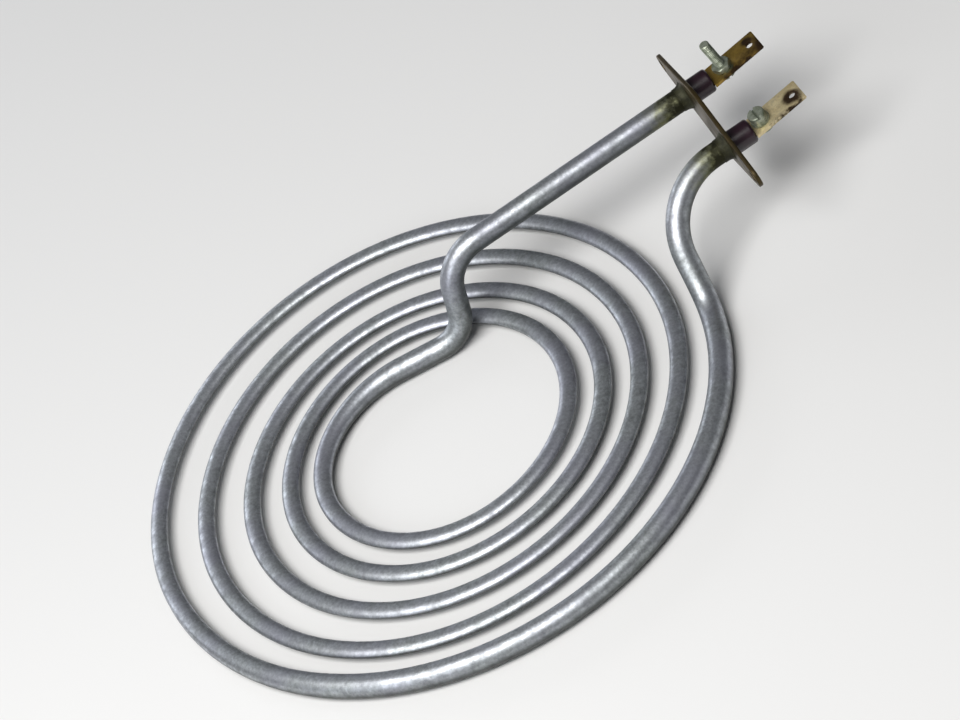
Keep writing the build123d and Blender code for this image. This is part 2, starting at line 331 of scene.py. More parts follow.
def blade_matrix(y, along, height=0.0, facing=1):
    """Place on a tab: this far along it from the bush and this high above its middle."""
    sizes = settings("element_terminal")
    bush_end = settings("element_flange").thickness + sizes.bush_length
    blade_along = Vector((cos(sizes.tab_tilt), 0, sin(sizes.tab_tilt)))
    blade_normal = Vector((-sin(sizes.tab_tilt), 0, cos(sizes.tab_tilt)))
    bend_centre = Vector((bush_end, y, sizes.tab_bend))
    past_bend = along - sizes.tab_bend * sizes.tab_tilt
    origin = bend_centre - blade_normal * (sizes.tab_bend - height) + blade_along * past_bend
    return frame_matrix(origin, blade_along, blade_normal * facing)


def only(kind, geometry):
    """The vertices, edges or faces among what an operator gives back."""
    return [item for item in geometry if isinstance(item, kind)]


def outline(bm, points, closed=True):
    """Edges through these (x, z) points in the plane y = 0."""
    verts = [bm.verts.new((x, 0, z)) for x, z in points]
    pairs = list(zip(verts, verts[1:]))
    if closed:
        pairs.append((verts[-1], verts[0]))
    return verts, [bm.edges.new(pair) for pair in pairs]


def circle(bm, radius, segments, matrix):
    """Vertices and edges of an open circle."""
    verts = bmesh.ops.create_circle(
        bm, cap_ends=False, segments=segments, radius=radius, matrix=matrix
    )["verts"]
    return verts, list(dict.fromkeys(edge for vert in verts for edge in vert.link_edges))


def corner_arc(centre_x, centre_z, radius, first, last, steps):
    """Points of an arc in the (x, z) plane, between two angles in degrees."""
    turns = [radians(first + (last - first) * step / steps) for step in range(steps + 1)]
    return [(centre_x + radius * cos(turn), centre_z + radius * sin(turn)) for turn in turns]


def turned(points, segments):
    """A turned piece: the closed outline of (radius, height) points spun round the z axis."""
    bm = bmesh.new()
    verts, edges = outline(bm, points)
    bmesh.ops.spin(
        bm, geom=verts + edges, cent=ORIGIN, axis=UP, dvec=ORIGIN,
        angle=2 * pi, steps=segments, use_merge=True,
    )
    bmesh.ops.remove_doubles(bm, verts=bm.verts, dist=SAME_PLACE)
    bmesh.ops.recalc_face_normals(bm, faces=bm.faces)
    return bm


def cut_sheet(points, holes, thickness, rounding, rounding_steps):
    """Sheet from y = 0 down with (x, radius) holes, cut to an outline and rounded at its rims."""
    bm = bmesh.new()
    _, edges = outline(bm, points)
    upright = Matrix.Rotation(pi / 2, 4, "X")
    for across, radius in holes:
        edges += circle(bm, radius, HOLE_STEPS, Matrix.Translation((across, 0, 0)) @ upright)[1]
    filled = bmesh.ops.triangle_fill(bm, use_beauty=True, use_dissolve=False, edges=edges)
    grown = bmesh.ops.extrude_face_region(bm, geom=only(BMFace, filled["geom"]))
    bmesh.ops.translate(bm, verts=only(BMVert, grown["geom"]), vec=(0, -thickness, 0))
    bmesh.ops.recalc_face_normals(bm, faces=bm.faces)
    rims = [edge for edge in bm.edges if edge.calc_face_angle(0.0) > RIM_ANGLE]
    bmesh.ops.bevel(
        bm, geom=rims, offset=rounding, offset_type="OFFSET", segments=rounding_steps,
        profile=0.5, affect="EDGES", material=-1, clamp_overlap=True,
    )
    return bm


def cut_across(bm, point, normal, **sides):
    """Cuts the whole mesh at a plane, and gives back the edges of the cut."""
    cut = bmesh.ops.bisect_plane(
        bm, geom=bm.verts[:] + bm.edges[:] + bm.faces[:], dist=SAME_PLACE,
        plane_co=point, plane_no=normal, **sides,
    )
    return only(BMEdge, cut["geom_cut"])


def place(bm, matrix):
    """Moves and turns the whole mesh."""
    bmesh.ops.transform(bm, matrix=matrix, verts=bm.verts)


def join(bm, other):
    """Adds a second mesh to the first."""
    spare = bpy.data.meshes.new("spare")
    other.to_mesh(spare)
    other.free()
    bm.from_mesh(spare)
    bpy.data.meshes.remove(spare)


def new_object(name, data):
    """Object in the scene for a mesh, a lamp or a camera."""
    item = bpy.data.objects.new(name, data)
    bpy.context.collection.objects.link(item)
    return item


def carved(bm, cutter, operation="DIFFERENCE"):
    """The first mesh cut by the second, by a boolean modifier that is applied at once."""
    meshes = []
    for source in (bm, cutter):
        mesh = bpy.data.meshes.new("carving")
        source.to_mesh(mesh)
        source.free()
        meshes.append(mesh)
    objects = [new_object("carving", mesh) for mesh in meshes]
    modifier = objects[0].modifiers.new("carve", "BOOLEAN")
    modifier.operation = operation
    modifier.solver = "EXACT"
    modifier.object = objects[1]
    result = bmesh.new()
    result.from_object(objects[0], bpy.context.evaluated_depsgraph_get())
    for item, mesh in zip(objects, meshes):
        bpy.data.objects.remove(item)
        bpy.data.meshes.remove(mesh)
    return result


def mesh_object(bm, name, material):
    """Object of a mesh with its material."""
    mesh = bpy.data.meshes.new(name)
    bm.to_mesh(mesh)
    bm.free()
    mesh.materials.append(material)
    return new_object(name, mesh)


def finished(bm, name, material, nodes, sharp=35):
    """Object of a finished piece that rides on the part and stands for CAD nodes."""
    crease = radians(sharp)
    for face in bm.faces:
        face.smooth = True
    for edge in bm.edges:
        edge.smooth = edge.calc_face_angle(pi) < crease
    piece = mesh_object(bm, name, material)
    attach(piece, "root")
    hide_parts(*nodes)


def dress(node, material):
    """Gives a CAD node that stays in view its material."""
    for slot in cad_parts[node].material_slots:
        slot.material = material


# Shared tools for materials


def new_material(name):
    """Material with its node tree and its shader."""
    material = bpy.data.materials.new(name)
    material.use_nodes = True
    tree = material.node_tree
    shader = next(node for node in tree.nodes if node.type == "BSDF_PRINCIPLED")
    return material, tree, shader


def feed(tree, socket, value):
    """Links an input to another node's output, or sets it to a fixed value."""
    if isinstance(value, bpy.types.NodeSocket):
        tree.links.new(value, socket)
    else:
        socket.default_value = value


def add_node(tree, kind, **values):
    """Node of a kind. Names that aren't its properties are its inputs, with _ for a space."""
    node = tree.nodes.new(kind)
    for name, value in values.items():
        if hasattr(node, name):
            setattr(node, name, value)
        else:
            feed(tree, node.inputs[name.replace("_", " ")], value)
    return node


def group_with(name, inputs, outputs):
    """Empty node group with named sockets. Inputs are (name, type, default)."""
    group = bpy.data.node_groups.new(name, "ShaderNodeTree")
    for label, kind, default in inputs:
        socket = group.interface.new_socket(label, in_out="INPUT", socket_type="NodeSocket" + kind)
        if default is not None:
            socket.default_value = default
    for label, kind in outputs:
        group.interface.new_socket(label, in_out="OUTPUT", socket_type="NodeSocket" + kind)
    given = group.nodes.new("NodeGroupInput").outputs
    result = group.nodes.new("NodeGroupOutput").inputs
    return group, given, result


def shared_group(name, builder):
    """The node group of this name, built the first time it is asked for."""
    return bpy.data.node_groups.get(name) or builder()


def opaque(value):
    """Colour with its alpha."""
    return (*value, 1.0)


def object_vector(tree):
    """Object coordinates, which every pattern reads."""
    return add_node(tree, "ShaderNodeTexCoord").outputs["Object"]


def remap(tree, value, levels=(0.0, 1.0), to=(0.0, 1.0), kind="LINEAR"):
    """A value carried from one pair of levels to another."""
    node = add_node(
        tree, "ShaderNodeMapRange", clamp=True, interpolation_type=kind,
        Value=value, From_Min=levels[0], From_Max=levels[1], To_Min=to[0], To_Max=to[1],
    )
    return node.outputs["Result"]


def noise_mask(tree, vector, scale, levels, detail=4.0):
    """Noise stretched between two levels into a mask from 0 to 1."""
    grain = add_node(
        tree, "ShaderNodeTexNoise", Vector=vector, Scale=scale, Detail=detail, Roughness=0.6
    )
    return remap(tree, grain.outputs["Fac"], levels)


def mix_colour(tree, factor, first, second):
    """Mixed colour; each input is a socket or a fixed value."""
    mix = add_node(tree, "ShaderNodeMix", data_type="RGBA")
    for index, value in zip(MIX_INPUTS, (factor, first, second)):
        feed(tree, mix.inputs[index], value)
    return mix.outputs[MIX_OUTPUT]


def calculate(tree, operation, first, second):
    """Math node's result; each input is a socket or a number."""
    node = add_node(tree, "ShaderNodeMath", operation=operation)
    feed(tree, node.inputs[0], first)
    feed(tree, node.inputs[1], second)
    return node.outputs[0]


def tinted(tree, shade, mask, tint, share):
    """A shade mixed with up to this share of a tint where a mask is high."""
    return mix_colour(tree, calculate(tree, "MULTIPLY", mask, share), shade, opaque(tint))


def patina_group():
    """Two tones in soft patches, a fine grain over them, and the height of both."""
    inputs = (
        ("Vector", "Vector", None),
        ("Base", "Color", None),
        ("Film", "Color", None),
        ("Patch scale", "Float", 60.0),
        ("Grain scale", "Float", 900.0),
        ("Film amount", "Float", 0.6),
        ("Grain amount", "Float", 0.25),
    )
    outputs = (("Color", "Color"), ("Film mask", "Float"), ("Height", "Float"))
    group, given, result = group_with("patina", inputs, outputs)
    patches = noise_mask(group, given["Vector"], given["Patch scale"], PATCH_LEVELS)
    grain = noise_mask(group, given["Vector"], given["Grain scale"], GRAIN_LEVELS, detail=2.0)
    film = calculate(group, "MULTIPLY", patches, given["Film amount"])
    toned = mix_colour(group, film, given["Base"], given["Film"])
    dark = calculate(group, "MULTIPLY", grain, given["Grain amount"])
    low_patches = calculate(group, "MULTIPLY", patches, PATCH_HEIGHT)
    feed(group, result["Color"], mix_colour(group, dark, toned, BLACK))
    feed(group, result["Film mask"], film)
    feed(group, result["Height"], calculate(group, "ADD", low_patches, grain))
    return group


def patina(tree, vector, base, film, patch_scale, grain_scale, film_amount, grain_amount):
    """Patina group in a material: its colour, its film's mask and its height."""
    node = add_node(
        tree, "ShaderNodeGroup", node_tree=shared_group("patina", patina_group),
        Vector=vector, Base=opaque(base), Film=opaque(film), Patch_scale=patch_scale,
        Grain_scale=grain_scale, Film_amount=film_amount, Grain_amount=grain_amount,
    )
    return node.outputs["Color"], node.outputs["Film mask"], node.outputs["Height"]


def stain_group():
    """Mask of a stain with a ragged edge round a point."""
    inputs = (
        ("Vector", "Vector", None),
        ("Centre", "Vector", None),
        ("Radius", "Float", 0.01),
        ("Softness", "Float", 0.5),
        ("Raggedness", "Float", 0.3),
        ("Scale", "Float", 300.0),
    )
    group, given, result = group_with("stain", inputs, (("Mask", "Float"),))
    gap = add_node(group, "ShaderNodeVectorMath", operation="DISTANCE")
    feed(group, gap.inputs[0], given["Vector"])
    feed(group, gap.inputs[1], given["Centre"])
    share = calculate(group, "DIVIDE", gap.outputs["Value"], given["Radius"])
    rough = noise_mask(group, given["Vector"], given["Scale"], GRAIN_LEVELS)
    ragged = calculate(group, "MULTIPLY", rough, given["Raggedness"])
    edge = calculate(group, "ADD", share, ragged)
    start = calculate(group, "SUBTRACT", 1.0, given["Softness"])
    feed(group, result["Mask"], remap(group, edge, (start, 1.0), (1.0, 0.0), "SMOOTHSTEP"))
    return group


def stain(tree, vector, centre, radius, softness=0.5, raggedness=0.3, scale=300.0):
    """Stain group's mask in a material."""
    node = add_node(
        tree, "ShaderNodeGroup", node_tree=shared_group("stain", stain_group), Vector=vector,
        Centre=centre, Radius=radius, Softness=softness, Raggedness=raggedness, Scale=scale,
    )
    return node.outputs["Mask"]


def set_surface(tree, shader, shade, film, height, metallic, roughness, bump, bump_distance):
    """Sets a shader. Its roughness goes from the first to the second as the film gets thick."""
    relief = add_node(
        tree, "ShaderNodeBump", Strength=bump, Distance=bump_distance, Height=height
    )
    feed(tree, shader.inputs["Base Color"], shade)
    feed(tree, shader.inputs["Metallic"], metallic)
    feed(tree, shader.inputs["Roughness"], remap(tree, film, to=roughness))
    feed(tree, shader.inputs["Normal"], relief.outputs["Normal"])


def worn_finish(
    name, base, film, metallic, roughness, patch_scale=160.0, grain_scale=1400.0,
    film_amount=0.7, grain_amount=0.25, bump=0.12, bump_distance=0.00004, coat=0.0, stains=(),
):
    """Material with a patina; stains are (colour, centre, radius, softness) on top of it."""
    material, tree, shader = new_material(name)
    vector = object_vector(tree)
    shade, mask, height = patina(
        tree, vector, base, film, patch_scale, grain_scale, film_amount, grain_amount
    )
    for tint, centre, radius, softness in stains:
        stained = stain(tree, vector, centre, radius, softness)
        shade = mix_colour(tree, stained, shade, opaque(tint))
        mask = calculate(tree, "MAXIMUM", mask, stained)
    roughnesses = (roughness, min(1.0, roughness + FILM_ROUGHNESS))
    set_surface(tree, shader, shade, mask, height, metallic, roughnesses, bump, bump_distance)
    shader.inputs["Coat Weight"].default_value = coat
    return material


# Sheath


class TubeBender:
    """Draws a tube through straight runs and bends, as a bending machine does."""

    def __init__(self, bm, start, heading, radius, segments):
        self.bm = bm
        self.place = start.copy()
        self.heading = heading.normalized()
        matrix = frame_matrix(start, Vector((0, 1, 0)), heading)
        verts, edges = circle(bm, radius, segments, matrix)
        self.front = verts + edges
        self.rings = []
        self.note(0.0)

    def note(self, swage):
        """Keeps the newest ring with its centre, its heading and the share that it is swaged."""
        ring = only(BMVert, self.front)
        self.rings.append((ring, self.place.copy(), self.heading.copy(), swage))

    def advance(self, centre, axis, turn, shift, swage):
        """One step of tube: a turn about an axis, or a shift along a straight."""
        last = bmesh.ops.spin(
            self.bm, geom=self.front, cent=centre, axis=axis, dvec=shift, angle=turn, steps=1
        )["geom_last"]
        self.front = only(BMVert, last) + only(BMEdge, last)
        rotation = Matrix.Rotation(turn, 3, axis)
        self.place = centre + rotation @ (self.place - centre) + shift
        self.heading = rotation @ self.heading
        self.note(swage)

    def run_to(self, target):
        """Straight run to a point ahead."""
        whole = target - self.place
        steps = max(1, ceil(whole.length / settings("element_sheath").step_run))
        for _ in range(steps):
            self.advance(self.place, UP, 0.0, whole / steps, 0.0)

    def bend(self, centre, axis, turn, first_swage=0.0, last_swage=0.0):
        """Bend about a centre, swaged evenly from one share to another."""
        steps = max(1, ceil(turn / settings("element_sheath").step_angle - TURN_SLACK))
        for step in range(1, steps + 1):
            swage = first_swage + (last_swage - first_swage) * step / steps
            self.advance(centre, axis, turn / steps, ORIGIN, swage)

    def corner(self, corner, target, radius):
        """Straight run up to a rounded corner, and its bend towards the next point."""
        ahead = (target - corner).normalized()
        turn = self.heading.angle(ahead)
        self.run_to(corner - self.heading * radius * tan(turn / 2))
        axis = self.heading.cross(ahead).normalized()
        self.bend(self.place + axis.cross(self.heading) * radius, axis, turn)


def radial(turn):
    """Level direction at an angle."""
    return Vector((cos(turn), sin(turn), 0))


def coil_bends():
    """Centre, radius, start angle and turn of each bend, and the two shares that it is swaged."""
    sizes = settings("element_sheath")
    lead_y = settings("element_flange").lead_spacing / 2
    last_radius = sizes.quarter_radii[-1] + sizes.last_growth
    plan = [(sizes.first_radius, pi - sizes.start_angle, 0.0, 1.0)]
    plan += [(radius, pi / 2, 1.0, 1.0) for radius in sizes.quarter_radii]
    plan += [
        (last_radius, sizes.outer_taper, 1.0, 0.0),
        (last_radius, pi / 2 - sizes.outer_taper, 0.0, 0.0),
    ]
    step = Vector((0, 0, 0))
    heading = sizes.start_angle
    last = sizes.first_radius
    bends = []
    for radius, turn, first_swage, last_swage in plan:
        step = step + radial(heading) * (last - radius)
        bends.append((step, radius, heading, turn, first_swage, last_swage))
        heading += turn
        last = radius
    step = step + radial(heading) * (last - sizes.end_radius)
    coil_y = lead_y - sizes.first_radius
    rise = asin((-lead_y - sizes.end_reach - coil_y - step.y) / sizes.end_radius)
    bends.append((step, sizes.end_radius, heading, pi / 2 + rise, 0.0, 0.0))
    coil_x = -sizes.end_setback - step.x - sizes.end_radius * cos(rise)
    coil_centre = Vector((coil_x, coil_y, -sizes.coil_drop))
    return coil_centre, [(coil_centre + offset, *bend) for offset, *bend in bends]


def bend_round_tube(bm):
    """Bends the tube from one end to the other, full round all the way."""
    sizes = settings("element_sheath")
    plate = settings("element_flange")
    lead_y = plate.lead_spacing / 2
    coil_centre, bends = coil_bends()
    first_end = Vector((plate.thickness, lead_y, 0))
    tube = TubeBender(bm, first_end, Vector((-1, 0, 0)), sizes.cold_dia / 2, sizes.segments)
    centre, radius, start, *_ = bends[0]
    coil_start = centre + radial(start) * radius
    drop_foot = coil_start - radial(start + pi / 2) * sizes.drop_run
    drop_top = Vector((coil_centre.x + sizes.drop_top_x, lead_y, 0))
    tube.corner(drop_top, drop_foot, sizes.drop_top_bend)
    tube.corner(drop_foot, coil_start, sizes.drop_bend)
    tube.run_to(coil_start)
    for centre, _, _, turn, first_swage, last_swage in bends:
        tube.bend(centre, UP, turn, first_swage, last_swage)
    climb_foot = tube.place + tube.heading * sizes.climb_run
    climb_top = Vector((-sizes.climb_setback, -lead_y, 0))
    last_end = Vector((plate.thickness, -lead_y, 0))
    tube.corner(climb_foot, climb_top, sizes.climb_bend)
    tube.corner(climb_top, last_end, sizes.turn_bend)
    tube.run_to(last_end)
    return tube


def swage(tube):
    """Presses the rings of the heated length from round to oval."""
    sizes = settings("element_sheath")
    wide = sizes.heated_width / sizes.cold_dia
    high = sizes.heated_height / sizes.cold_dia
    for verts, centre, heading, share in tube.rings:
        side = heading.cross(UP).normalized()
        over = side.cross(heading)
        for vert in verts:
            offset = vert.co - centre
            across = side * offset.dot(side) * (wide - 1) * share
            upright = over * offset.dot(over) * (high - 1) * share
            vert.co += across + upright


def close_ends(bm, tube):
    """Closes the tube's two ends behind a shallow recess."""
    sizes = settings("element_sheath")
    for verts, *_ in (tube.rings[0], tube.rings[-1]):
        edges = [edge for edge in bm.edges if edge.is_boundary and edge.verts[0] in verts]
        cap = bmesh.ops.edgeloop_fill(bm, edges=edges)["faces"]
        bmesh.ops.inset_individual(bm, faces=cap, thickness=sizes.wall, depth=0.0)
        inward = Vector((-sizes.end_recess, 0, 0))
        bmesh.ops.translate(bm, verts=cap[0].verts[:], vec=inward)


def bent_tube():
    """Mesh of the whole sheath, with how far down its skin faces as an attribute."""
    bm = bmesh.new()
    underside = bm.verts.layers.float.new(UNDERSIDE)
    tube = bend_round_tube(bm)
    swage(tube)
    close_ends(bm, tube)
    bmesh.ops.recalc_face_normals(bm, faces=bm.faces)
    bm.normal_update()
    for vert in bm.verts:
        vert[underside] = (1 - vert.normal.z) / 2
    return bm


def sheath_material():
    """Drawn steel: an oxide film, a violet cast, painted shade on its downward skin, and flux and
    burnt stains at the plate.
    """
    colours = settings("element_colours")
    lead_y = settings("element_flange").lead_spacing / 2
    material, tree, shader = new_material("sheath_steel")
    vector = object_vector(tree)
    shade, mask, height = patina(
        tree, vector, colours.steel, colours.steel_dark,
        patch_scale=260.0, grain_scale=1000.0, film_amount=0.6, grain_amount=0.36,
    )
    cast = noise_mask(tree, vector, scale=45.0, levels=CAST_LEVELS, detail=2.0)
    shade = tinted(tree, shade, cast, colours.steel_violet, share=0.35)
    # Painted shade: the steel darkens towards near-black where its skin faces down, so the tube's
    # lower sides look shaded.
    facing = add_node(tree, "ShaderNodeAttribute", attribute_name=UNDERSIDE).outputs["Fac"]
    scale = remap(tree, facing, levels=(0.20, 0.62), to=(0.0, 0.85), kind="SMOOTHSTEP")
    shade = mix_colour(tree, scale, shade, opaque(colours.soot_and_painted_shade))
    for y in (lead_y, -lead_y):
        flux = stain(
            tree, vector, (-0.002, y, 0.0),
            radius=0.024, softness=0.7, raggedness=0.35, scale=260.0,
        )
        soot_and_painted_shade = stain(
            tree, vector, (0.0, y, -0.004),
            radius=0.0165, softness=0.35, raggedness=0.35, scale=420.0,
        )
        shade = tinted(tree, shade, flux, colours.flux, share=0.85)
        shade = tinted(tree, shade, soot_and_painted_shade, colours.plate_dark, share=0.9)
        mask = calculate(tree, "MAXIMUM", mask, soot_and_painted_shade)
    set_surface(
        tree, shader, shade, mask, height,
        metallic=0.92, roughness=(0.40, 0.58), bump=0.3, bump_distance=0.00005,
    )
    return material


class ELEMENT_OT_sheath(bpy.types.Operator):
    """Bend the sheath"""

    bl_idname = "element.sheath"
    bl_label = "Sheath"

    def execute(self, context):
        finished(bent_tube(), "bent_sheath", sheath_material(), ["sheath"], sharp=50)
        return {"FINISHED"}


# Flange and brazing


def plate_outline(sizes):
    """Points of the rhombic outline: its two tips, and the round middle between them."""
    reach = sizes.screw_spacing / 2
    lean = 90 - degrees(acos((sizes.width / 2 - sizes.tip_radius) / reach))
    points = []
    for turn, tip_x in ((0, reach), (180, -reach)):
        tip = turn - 90 + lean, turn + 90 - lean
        points += corner_arc(tip_x, 0, sizes.tip_radius, *tip, steps=20)
        points += corner_arc(0, 0, sizes.width / 2, tip[1], tip[1] + 2 * lean, steps=8)
    return points


def flange_plate():
    """Rhombic plate with its four holes and softly rounded edges."""
    sizes = settings("element_flange")
    tube_hole = settings("element_sheath").cold_dia / 2 + sizes.clearance
    screw_hole = sizes.hole_dia / 2
    holes = [
        (side * spacing / 2, radius)
        for spacing, radius in ((sizes.lead_spacing, tube_hole), (sizes.screw_spacing, screw_hole))
        for side in (1, -1)
    ]
    bm = cut_sheet(plate_outline(sizes), holes, sizes.thickness, sizes.edge, rounding_steps=3)
    place(bm, frame_matrix(ORIGIN, Vector((0, 1, 0)), UP))
    return bm


def braze_fillet(y):
    """Uneven fillet of brazing metal round one tube on the seat side."""
    sizes = settings("element_flange")
    skin = settings("element_sheath").cold_dia / 2
    foot = Vector((skin + sizes.braze_spread, 0.0))
    lip = Vector((skin + sizes.braze_lip, -sizes.braze_length))
    chord = lip - foot
    outward = Vector((-chord.y, chord.x)).normalized()
    if outward.x < 0:
        outward = -outward
    centre = (lip + foot) / 2
    centre += outward * sqrt(sizes.braze_hollow ** 2 - (chord.length / 2) ** 2)
    first, last = (
        degrees(atan2(point.y - centre.y, point.x - centre.x)) % 360 for point in (foot, lip)
    )
    inside = skin - sizes.braze_depth
    points = [(inside, -sizes.braze_length), (inside, 0.0)]
    points += corner_arc(centre.x, centre.y, sizes.braze_hollow, first, last, steps=10)
    bm = turned(points, BRAZE_STEPS)
    for vert in bm.verts:
        reach = Vector((vert.co.x, vert.co.y, 0))
        if reach.length > skin:
            swell = noise.noise(vert.co * SWELL_SCALE + Vector((0, 0, y * SWELL_SHIFT)))
            share = (reach.length - skin) / sizes.braze_spread
            bulge = swell * sizes.braze_swell * min(1.0, share + SWELL_AT_SKIN)
            vert.co += reach.normalized() * bulge
            vert.co.z -= max(0.0, swell) * sizes.braze_run * (1 - share)
    place(bm, lead_matrix(y))
    return bm


class ELEMENT_OT_flange(bpy.types.Operator):
    """Make the flange and its brazing"""

    bl_idname = "element.flange"
    bl_label = "Flange and brazing"

    def execute(self, context):
        colours = settings("element_colours")
        lead_y = settings("element_flange").lead_spacing / 2
        plate = worn_finish(
            "passivated_plate", colours.plate, colours.plate_dark,
            metallic=0.75, roughness=0.36, patch_scale=120.0, grain_scale=900.0, film_amount=0.6,
            stains=[(colours.plate_dark, (0.0, y, 0.0), 0.011, 0.6) for y in (lead_y, -lead_y)],
        )
        finished(flange_plate(), "flange_plate", plate, ["flange"])
        braze = worn_finish(
            "braze_metal", colours.braze, colours.plate_dark,
            metallic=0.55, roughness=0.5, patch_scale=400.0, grain_scale=2200.0,
            film_amount=0.8, bump=0.4, bump_distance=0.0001,
        )
        for name, y in (("a", lead_y), ("b", -lead_y)):
            finished(braze_fillet(y), f"braze_fillet_{name}", braze, [f"braze_{name}"], sharp=60)
        return {"FINISHED"}


# Terminals


def block(size, centre):
    """Box of a size, with its centre at a point."""
    bm = bmesh.new()
    matrix = Matrix.Translation(centre) @ Matrix.Diagonal((*size, 1.0))
    bmesh.ops.create_cube(bm, size=1.0, matrix=matrix)
    return bm


def threaded_rod(low, high):
    """Rod from one height to another along z with a helical thread, cut flat at both ends."""
    sizes = settings("element_terminal")
    crest = sizes.thread_dia / 2
    root = crest - sizes.thread_depth
    pitch = sizes.thread_pitch
    flat = pitch / 8
    profile = [
        (root, 0.0), (root, flat), (crest, (pitch - flat) / 2), (crest, (pitch + flat) / 2),
        (root, pitch),
    ]
    one_each_end = 2
    turns = ceil((high - low) / pitch) + one_each_end
    bm = bmesh.new()
    start = low - pitch
    verts, edges = outline(bm, [(x, start + z) for x, z in profile], closed=False)
    bmesh.ops.spin(
        bm, geom=verts + edges, cent=ORIGIN, axis=UP, dvec=(0, 0, pitch / THREAD_STEPS),
        angle=2 * pi * turns, steps=turns * THREAD_STEPS,
    )
    bmesh.ops.remove_doubles(bm, verts=bm.verts, dist=THREAD_SEAM)
    for height, side in ((low, -1), (high, 1)):
        rim = cut_across(bm, (0, 0, height), (0, 0, side), clear_outer=True)
        bmesh.ops.edgeloop_fill(bm, edges=rim)
    bmesh.ops.recalc_face_normals(bm, faces=bm.faces)
    return bm


def chamfered_end(radius, chamfer, end):
    """Long solid whose lower rim is chamfered at this depth, which a rod's tip is cut to."""
    bm = turned(
        [
            (0.0, -CUTTER_REACH), (radius, -CUTTER_REACH), (radius, end - chamfer),
            (radius - chamfer, end), (0.0, end),
        ],
        THREAD_STEPS,
    )
    bmesh.ops.rotate(bm, cent=ORIGIN, matrix=Matrix.Rotation(pi, 3, "X"), verts=bm.verts)
    return bm


def slotted_screw(shank):
    """Cheese-head screw on its seat plane, its threaded shank going down from it."""
    sizes = settings("element_terminal")
    rim = sizes.head_dia / 2
    top = sizes.head_height
    foot = sizes.head_edge
    rounding = sizes.head_round
    profile = [(0.0, 0.0), (rim - foot, 0.0), (rim, foot)]
    profile += corner_arc(rim - rounding, top - rounding, rounding, 0, 90, steps=6)
    profile += [(0.0, top)]
    right_across = sizes.head_dia * 1.2
    slot = block((sizes.slot_width, right_across, sizes.slot_depth * 2), Vector((0, 0, top)))
    screw = carved(turned(profile, HEAD_STEPS), slot)
    chamfer = sizes.thread_depth + sizes.thread_dia / 2
    tip = chamfered_end(sizes.thread_dia, chamfer, shank)
    into_head = top / 4
    join(screw, carved(threaded_rod(-shank, into_head), tip, "INTERSECT"))
    return screw


def bent_blade(y, screw_inset):
    """Tab with its tongue in the bush, a soft bend at the bush and a hole near its tip."""
    sizes = settings("element_terminal")
    half = sizes.tab_width / 2
    tongue = sizes.tongue_width / 2
    tip = sizes.tab_length
    corner = sizes.tab_corner
    points = [
        (-sizes.tongue_length, -tongue), (0.0, -tongue), (0.0, -half), (tip - corner, -half),
        (tip, -half + corner), (tip, half - corner), (tip - corner, half), (0.0, half),
        (0.0, tongue), (-sizes.tongue_length, tongue),
    ]
    holes = (
        (screw_inset, sizes.thread_dia / 2 + sizes.clearance),
        (tip - sizes.tip_hole_inset, sizes.tip_hole_dia / 2),
    )
    bm = cut_sheet(points, holes, sizes.tab_thickness, sizes.tab_edge, rounding_steps=2)
    bend_run = sizes.tab_bend * sizes.tab_tilt
    for along in (0.0, bend_run / 2, bend_run):
        cut_across(bm, (along, 0, 0), (1, 0, 0))
    middle = Matrix.Translation((0, sizes.tab_thickness / 2, 0))
    place(bm, Matrix.Rotation(-pi / 2, 4, "X") @ middle)
    bush_end = settings("element_flange").thickness + sizes.bush_length
    for vert in bm.verts:
        along, across, height = vert.co
        turn = min(max(along, 0.0), bend_run) / sizes.tab_bend
        rest = along - turn * sizes.tab_bend
        reach = sizes.tab_bend - height
        vert.co = (
            bush_end + reach * sin(turn) + rest * cos(turn),
            y + across,
            sizes.tab_bend - reach * cos(turn) + rest * sin(turn),
        )
    bmesh.ops.recalc_face_normals(bm, faces=bm.faces)
    return bm


def tab_marks_painted_shade_and_reflection(tab, y, screw_inset):
    """Dark brown marks on a tab's upper face, the broad ones painted reflection, and painted shade
    round its screw.
    """
    colours = settings("element_colours")
    sizes = settings("element_terminal")
    spots = [
        (colours.brass_stain_and_painted_reflection, sizes.tab_length - back, across, radius, softness)
        for back, across, radius, softness in TAB_MARKS_AND_PAINTED_REFLECTION[tab]
    ]
    # Painted shade round the screw, in the dark zinc colour, which also makes the blade duller
    # there
    spots.append((colours.zinc_dark, screw_inset, 0.0, *SCREW_PAINTED_SHADE[tab]))
    upper_face = Vector((0, 0, sizes.tab_thickness / 2))
    return [
        (tint, tuple(blade_matrix(y, along) @ (Vector((0, across, 0)) + upper_face)), *spread)
        for tint, along, across, *spread in spots
    ]


class ELEMENT_OT_bushes(bpy.types.Operator):
    """Finish the bushes"""

    bl_idname = "element.bushes"
    bl_label = "Bushes"

    def execute(self, context):
        colours = settings("element_colours")
        moulding = worn_finish(
            "bush_moulding", colours.bush, colours.bush_dust,
            metallic=0.0, roughness=0.32, patch_scale=260.0, grain_scale=1600.0,
            film_amount=0.5, bump=0.2, bump_distance=0.00006, coat=0.25,
        )
        for node in ("bush_a", "bush_b"):
            dress(node, moulding)
        return {"FINISHED"}


